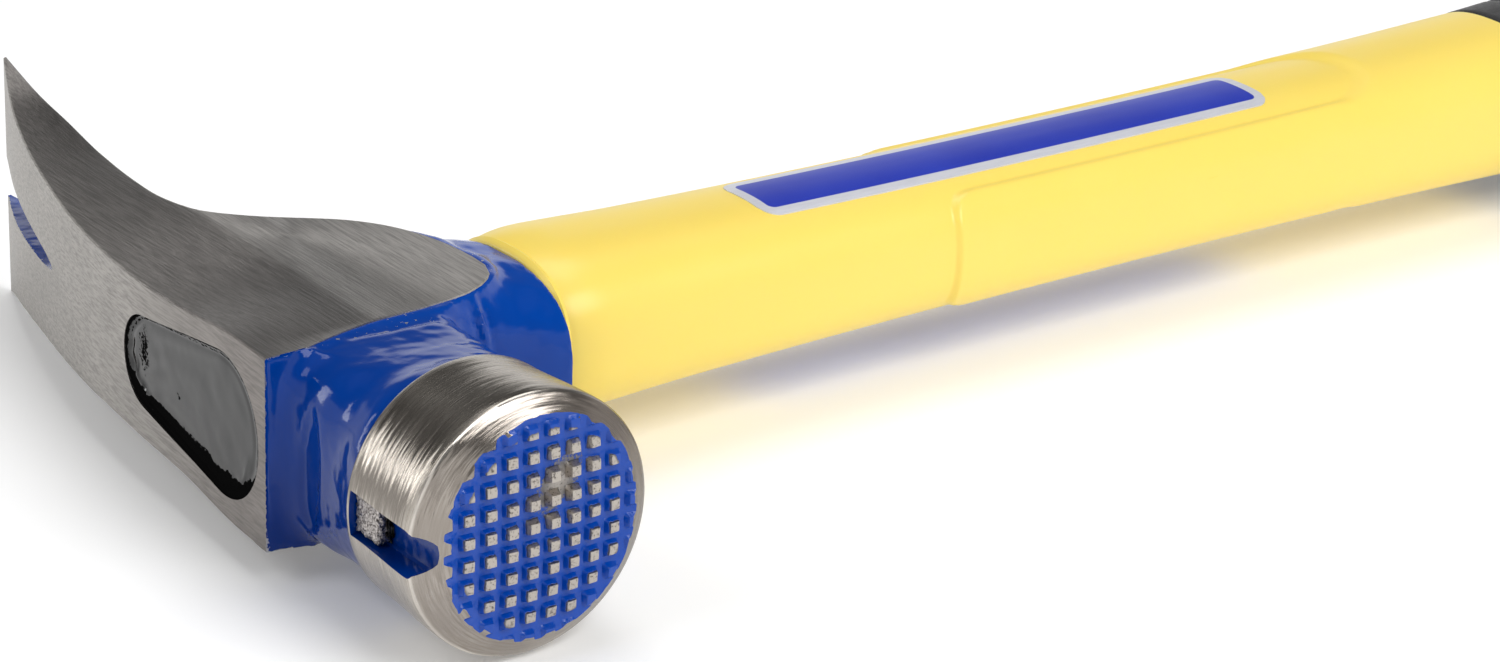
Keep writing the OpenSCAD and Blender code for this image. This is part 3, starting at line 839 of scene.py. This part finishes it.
def turned_steel():
    """Turned poll, streaks around its axis; painted shade, painted dark reflections, painted rim
    highlight.
    """
    f = Finish("turned_steel", Metallic=1.0, Anisotropic=0.75, Tangent=(0, 1, 0))
    x, y, z = f.split()
    dark_reflection_bands = ((2.83, 0.22), (2.33, 0.3))
    angle = f.sum("ARCTAN2", z, x)
    ring = f.add("CombineXYZ", X=f.sum("MULTIPLY", angle, 17.0), Y=y, Z=0.0).outputs[0]
    streak = f.noise(0.16, (30, 1, 1), 4, 3, ring)
    wide = f.noise(0.5, (22, 1, 1), 3, 6, ring)
    colour = f.mix(f.ramp(streak, 0.3, 0.7), rgb(150, 142, 132), rgb(214, 207, 197))
    colour = f.mix(f.ramp(f.noise(7, detail=3, seed=8), 0.35, 0.7), colour, rgb(176, 169, 160))
    swing = f.sum("ADD", angle, f.ramp(wide, 0.2, 0.8, -0.12, 0.12))
    # Painted shade along one side of the poll, by the angle around its axis.
    shaded = f.sum("MULTIPLY", f.ramp(swing, 1.5, 1.0), f.ramp(swing, -1.3, -0.6))
    colour = f.mix(shaded, colour, rgb(96, 89, 82))
    # Two bands of painted dark reflection, by the angle around the axis, fading out towards the rim.
    for middle, half in dark_reflection_bands:
        away = f.sum("ABSOLUTE", f.sum("SUBTRACT", swing, middle))
        band = f.sum("MULTIPLY", f.ramp(away, half, half * 0.3), f.ramp(y, RIM_Y, RIM_Y + 3, 0, 0.6))
        colour = f.mix(band, colour, rgb(88, 81, 75))
    bevel = f.ramp(y, RIM_Y, RIM_Y - 0.3)
    colour = f.mix(f.sum("MULTIPLY", bevel, 0.6), colour, rgb(128, 120, 114))
    # Painted highlight along the crease at the rim.
    crease = f.ramp(f.sum("ABSOLUTE", f.sum("SUBTRACT", y, RIM_Y)), 0.22, 0.05)
    colour = f.mix(f.sum("MULTIPLY", crease, 0.35), colour, rgb(226, 220, 214))
    rough = f.ramp(wide, 0.3, 0.7, 0.2, 0.28)
    around = f.add("CombineXYZ", X=f.sum("MULTIPLY", z, -1.0), Y=0.0, Z=x).outputs[0]
    tilt = f.sum("MULTIPLY", f.sum("SUBTRACT", f.sum("ADD", streak, wide), 1.0), 0.028)
    sway = f.add("VectorMath", {"operation": "SCALE"}, Scale=tilt)
    f.put(sway, {0: around})
    lean = f.add("VectorMath", {"operation": "ADD"})
    f.put(lean, {0: f.bump(wide, 0.03, f.bump(streak, 0.015)), 1: sway.outputs[0]})
    normal = f.add("VectorMath", {"operation": "NORMALIZE"})
    f.put(normal, {0: lean.outputs[0]})
    normal = normal.outputs[0]
    return f.set(Base_Color=colour, Roughness=rough, Normal=normal)


def milled_steel():
    """Blue enamel in the milled grooves, worn to pitted steel on the teeth."""
    f = Finish("milled_face", IOR=1.45)
    grit = f.noise(0.5, detail=4, seed=12)
    level = f.sum("ADD", f.point("bare"), f.sum("MULTIPLY", f.sum("SUBTRACT", grit, 0.5), 0.5))
    bare = f.ramp(level, 0.66, 0.76)
    pits = f.ramp(f.noise(0.32, detail=3, seed=15), 0.28, 0.5)
    steel = f.mix(pits, rgb(82, 76, 72), rgb(182, 175, 167))
    steel = f.mix(f.ramp(f.point("bare"), 0.75, 1.0), rgb(112, 110, 110), steel)
    colour = f.mix(bare, rgb(2, 68, 162), steel)
    normal = f.bump(f.noise(0.35, detail=3, seed=17), 0.06,
                    f.bump(f.ramp(level, 0.6, 0.72, 1, 0), 0.05))
    return f.set(Base_Color=colour, Metallic=bare, Normal=normal,
                 Roughness=f.ramp(bare, 0, 1, 0.08, 0.32))


def black_resin(name="black_epoxy", roughness=0.06):
    """Poured black resin with a few specks of dust; no gloss where marked black, which paints a dark
    reflection.
    """
    f = Finish(name, IOR=1.5, Roughness=roughness)
    dust = f.ramp(f.noise(0.35, detail=2, seed=5), 0.8, 0.84)
    colour = f.mix(dust, (0.004, 0.004, 0.004, 1), (0.5, 0.5, 0.48, 1))
    normal = f.bump(f.noise(3.5, detail=1, seed=2), 0.05)
    # Where marked black the reflection is taken away, as a painted dark reflection.
    level = f.sum("ADD", f.point("black"), f.ramp(f.noise(0.5, detail=4, seed=7), 0.3, 0.7, -0.2, 0.2))
    return f.set(Base_Color=colour, Normal=normal, IOR=f.ramp(level, -0.04, 0.1, 1.5, 1.0))


def yellow_plastic():
    """Yellow moulded plastic with faint clouds and scuffs."""
    f = Finish("yellow_plastic", IOR=1.46, Subsurface_Weight=0.15, Subsurface_Scale=0.002,
               Subsurface_Radius=(1.0, 0.7, 0.2))
    cloud = f.noise(26, (2, 1, 1), 2, 3)
    colour = f.mix(cloud, rgb(246, 215, 99), rgb(246, 219, 109))
    scuff = f.ramp(f.noise(1.4, (4, 1, 1), 4, 8), 0.7, 0.82, 0, 0.35)
    colour = f.mix(scuff, colour, rgb(240, 206, 70))
    normal = f.bump(f.noise(0.22, detail=3, seed=6), 0.006, f.bump(f.noise(9, (2, 1, 1), 2, 4), 0.05))
    return f.set(Base_Color=colour, Normal=normal, Roughness=f.ramp(cloud, 0.3, 0.7, 0.3, 0.38))


def label_foil():
    """Printed foil: a plain blue field in a silver border."""
    f = Finish("label_foil", IOR=1.45, Specular_IOR_Level=0.3)
    gap = f.point("border")
    inside = f.ramp(gap, 1.62, 1.72, soft=False)
    silver = f.mix(f.noise(0.6, (8, 1, 1), 3, 2), rgb(196, 198, 208), rgb(222, 223, 230))
    blue = f.mix(f.noise(12, detail=2, seed=5), rgb(38, 52, 160), rgb(48, 66, 178))
    print_dots = f.ramp(f.noise(0.12, detail=1, seed=7), 0.5, 0.7, 0, 0.12)
    colour = f.mix(inside, silver, f.mix(print_dots, blue, rgb(80, 96, 200)))
    normal = f.bump(f.noise(6, (3, 1, 1), 2, 9), 0.03)
    return f.set(Base_Color=colour, Normal=normal, Metallic=f.ramp(inside, 0, 1, 0.25, 0.0),
                 Roughness=f.ramp(inside, 0, 1, 0.35, 0.3))


def black_rubber():
    """Matt stippled rubber."""
    f = Finish("black_rubber", IOR=1.48, Sheen_Weight=0.15, Sheen_Roughness=0.4)
    colour = f.mix(f.noise(8, detail=4, seed=3), rgb(28, 28, 29), rgb(44, 44, 45))
    stipple = f.bump(f.noise(0.35, detail=2, seed=4), 0.06)
    return f.set(Base_Color=colour, Normal=stipple,
                 Roughness=f.ramp(f.noise(2, detail=3, seed=5), 0.3, 0.7, 0.5, 0.66))


def magnet_alloy():
    """Sparkling, uneven magnet alloy."""
    f = Finish("magnet_alloy", Metallic=1.0)
    grain = f.noise(0.3, detail=4, seed=3)
    colour = f.mix(f.ramp(grain, 0.35, 0.65), rgb(96, 90, 88), rgb(206, 200, 196))
    return f.set(Base_Color=colour, Normal=f.bump(grain, 0.12),
                 Roughness=f.ramp(grain, 0.3, 0.7, 0.25, 0.5))


def glass_fibre():
    """Pale fibreglass with strands along the handle."""
    f = Finish("glass_fibre", IOR=1.5)
    strand = f.noise(0.35, (60, 1, 1), 4, 3)
    colour = f.mix(f.ramp(strand, 0.3, 0.7), rgb(206, 198, 160), rgb(232, 226, 196))
    return f.set(Base_Color=colour, Roughness=f.ramp(strand, 0.3, 0.7, 0.4, 0.6),
                 Normal=f.bump(strand, 0.05))


# ---------------------------------------------------------------- assembly
def finish_piece(obj, node, slot, *materials):
    """Gives a piece its materials and puts it on the frame in place of a CAD node."""
    slots = obj.data.materials
    while len(slots) > len(materials):
        slots.pop()
    for i, material in enumerate(materials):
        slots[i] = material
    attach(obj, "root")
    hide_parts(node)


def repaint(node, material):
    """Gives a CAD node that stays as it is a procedural material."""
    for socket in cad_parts[node].material_slots:
        socket.material = material


def build_hammer():
    """Builds every visual piece, and paints the CAD nodes that stay as they are."""
    finish_piece(build_head(), "head", "head_steel", ground_steel(), enamel(), turned_steel(),
                 milled_steel())
    finish_piece(build_cap(), "eye_cap", "black_resin", black_resin())
    finish_piece(build_magnet(), "starter_magnet", "magnet_alloy", magnet_alloy())
    finish_piece(build_magnet_glue(), "magnet_bond", "bond_resin", black_resin("adhesive", 0.3))
    finish_piece(build_jacket(), "handle_jacket", "yellow_plastic", yellow_plastic())
    foil = label_foil()
    finish_piece(build_label("label_up", 1), "upper_label", "label_foil", foil)
    finish_piece(build_label("label_down", -1), "lower_label", "label_foil", foil)
    finish_piece(build_grip(), "grip", "black_rubber", black_rubber())
    repaint("eye_bond", black_resin("bond", 0.35))
    repaint("handle_core", glass_fibre())


# ---------------------------------------------------------------- stage, light and camera
def soft_light(name, direction, distance, size, power):
    """Soft box that shines at the target from a direction."""
    data = bpy.data.lights.new(name, "AREA")
    data.shape = "RECTANGLE"
    data.size, data.size_y = size
    data.energy = power
    light = bpy.data.objects.new(name, data)
    bpy.context.scene.collection.objects.link(light)
    away = Vector(direction).normalized()
    light.location = Vector((np.array(LIGHT_TARGET) + ORIGIN) / 1000) + away * distance
    light.rotation_mode = "QUATERNION"
    light.rotation_quaternion = (-away).to_track_quat("-Z", "Y")


def build_floor():
    """Plain pale floor just under the hammer."""
    low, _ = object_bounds()
    material = bpy.data.materials.new("pale_floor")
    material.use_nodes = True
    inputs = material.node_tree.nodes["Principled BSDF"].inputs
    inputs["Base Color"].default_value = (FLOOR_WHITE,) * 3 + (1,)
    inputs["Roughness"].default_value = FLOOR_ROUGH
    inputs["Emission Color"].default_value = (1, 1, 1, 1)
    inputs["Emission Strength"].default_value = FLOOR_GLOW
    corners = [(-1, -1), (1, -1), (1, 1), (-1, 1)]
    mesh = bpy.data.meshes.new("floor")
    mesh.from_pydata([(x * FLOOR_HALF, y * FLOOR_HALF, low.z) for x, y in corners], [],
                     [(0, 1, 2, 3)])
    floor = bpy.data.objects.new("floor", mesh)
    floor.data.materials.append(material)
    bpy.context.scene.collection.objects.link(floor)


def build_sky():
    """Grey studio that is bright near the horizon and dark above it."""
    world = bpy.data.worlds.new("studio")
    world.use_nodes = True
    bpy.context.scene.world = world
    tree = world.node_tree
    coordinate = tree.nodes.new("ShaderNodeTexCoord")
    split = tree.nodes.new("ShaderNodeSeparateXYZ")
    ramp = tree.nodes.new("ShaderNodeValToRGB")
    tree.links.new(coordinate.outputs["Generated"], split.inputs[0])
    tree.links.new(split.outputs[2], ramp.inputs[0])
    tree.links.new(ramp.outputs[0], tree.nodes["Background"].inputs[0])
    stops = ramp.color_ramp.elements
    while len(stops) < len(SKY):
        stops.new(0.5)
    for stop, (height, level) in zip(stops, SKY):
        stop.position = height
        stop.color = (level, level, level, 1)
    tree.nodes["Background"].inputs[1].default_value = 1.0


def build_camera():
    """Camera at the photograph's viewing angle, placed from the head's origin."""
    yaw, pitch, roll = (math.radians(a) for a in CAMERA_TURN)
    data = bpy.data.cameras.new("camera")
    data.sensor_width, data.lens = FILM, FOCAL
    camera = bpy.data.objects.new("camera", data)
    bpy.context.scene.collection.objects.link(camera)
    forward = Vector((math.sin(yaw) * math.cos(pitch), math.cos(yaw) * math.cos(pitch),
                      -math.sin(pitch)))
    level = Vector((math.cos(yaw), -math.sin(yaw), 0))
    upright = level.cross(forward)
    right = level * math.cos(roll) + upright * math.sin(roll)
    up = upright * math.cos(roll) - level * math.sin(roll)
    turn = Matrix((right, up, -forward)).transposed().to_4x4()
    place = (np.array(CAMERA_PLACE) + ORIGIN) / 1000
    camera.matrix_world = Matrix.Translation(Vector(place)) @ turn
    data.clip_start, data.clip_end = 0.01, 50
    bpy.context.scene.camera = camera


build_hammer()
bpy.context.view_layer.update()
build_floor()
build_sky()
for light in LIGHTS:
    soft_light(*light)
build_camera()
bpy.context.scene.view_settings.view_transform = "Standard"
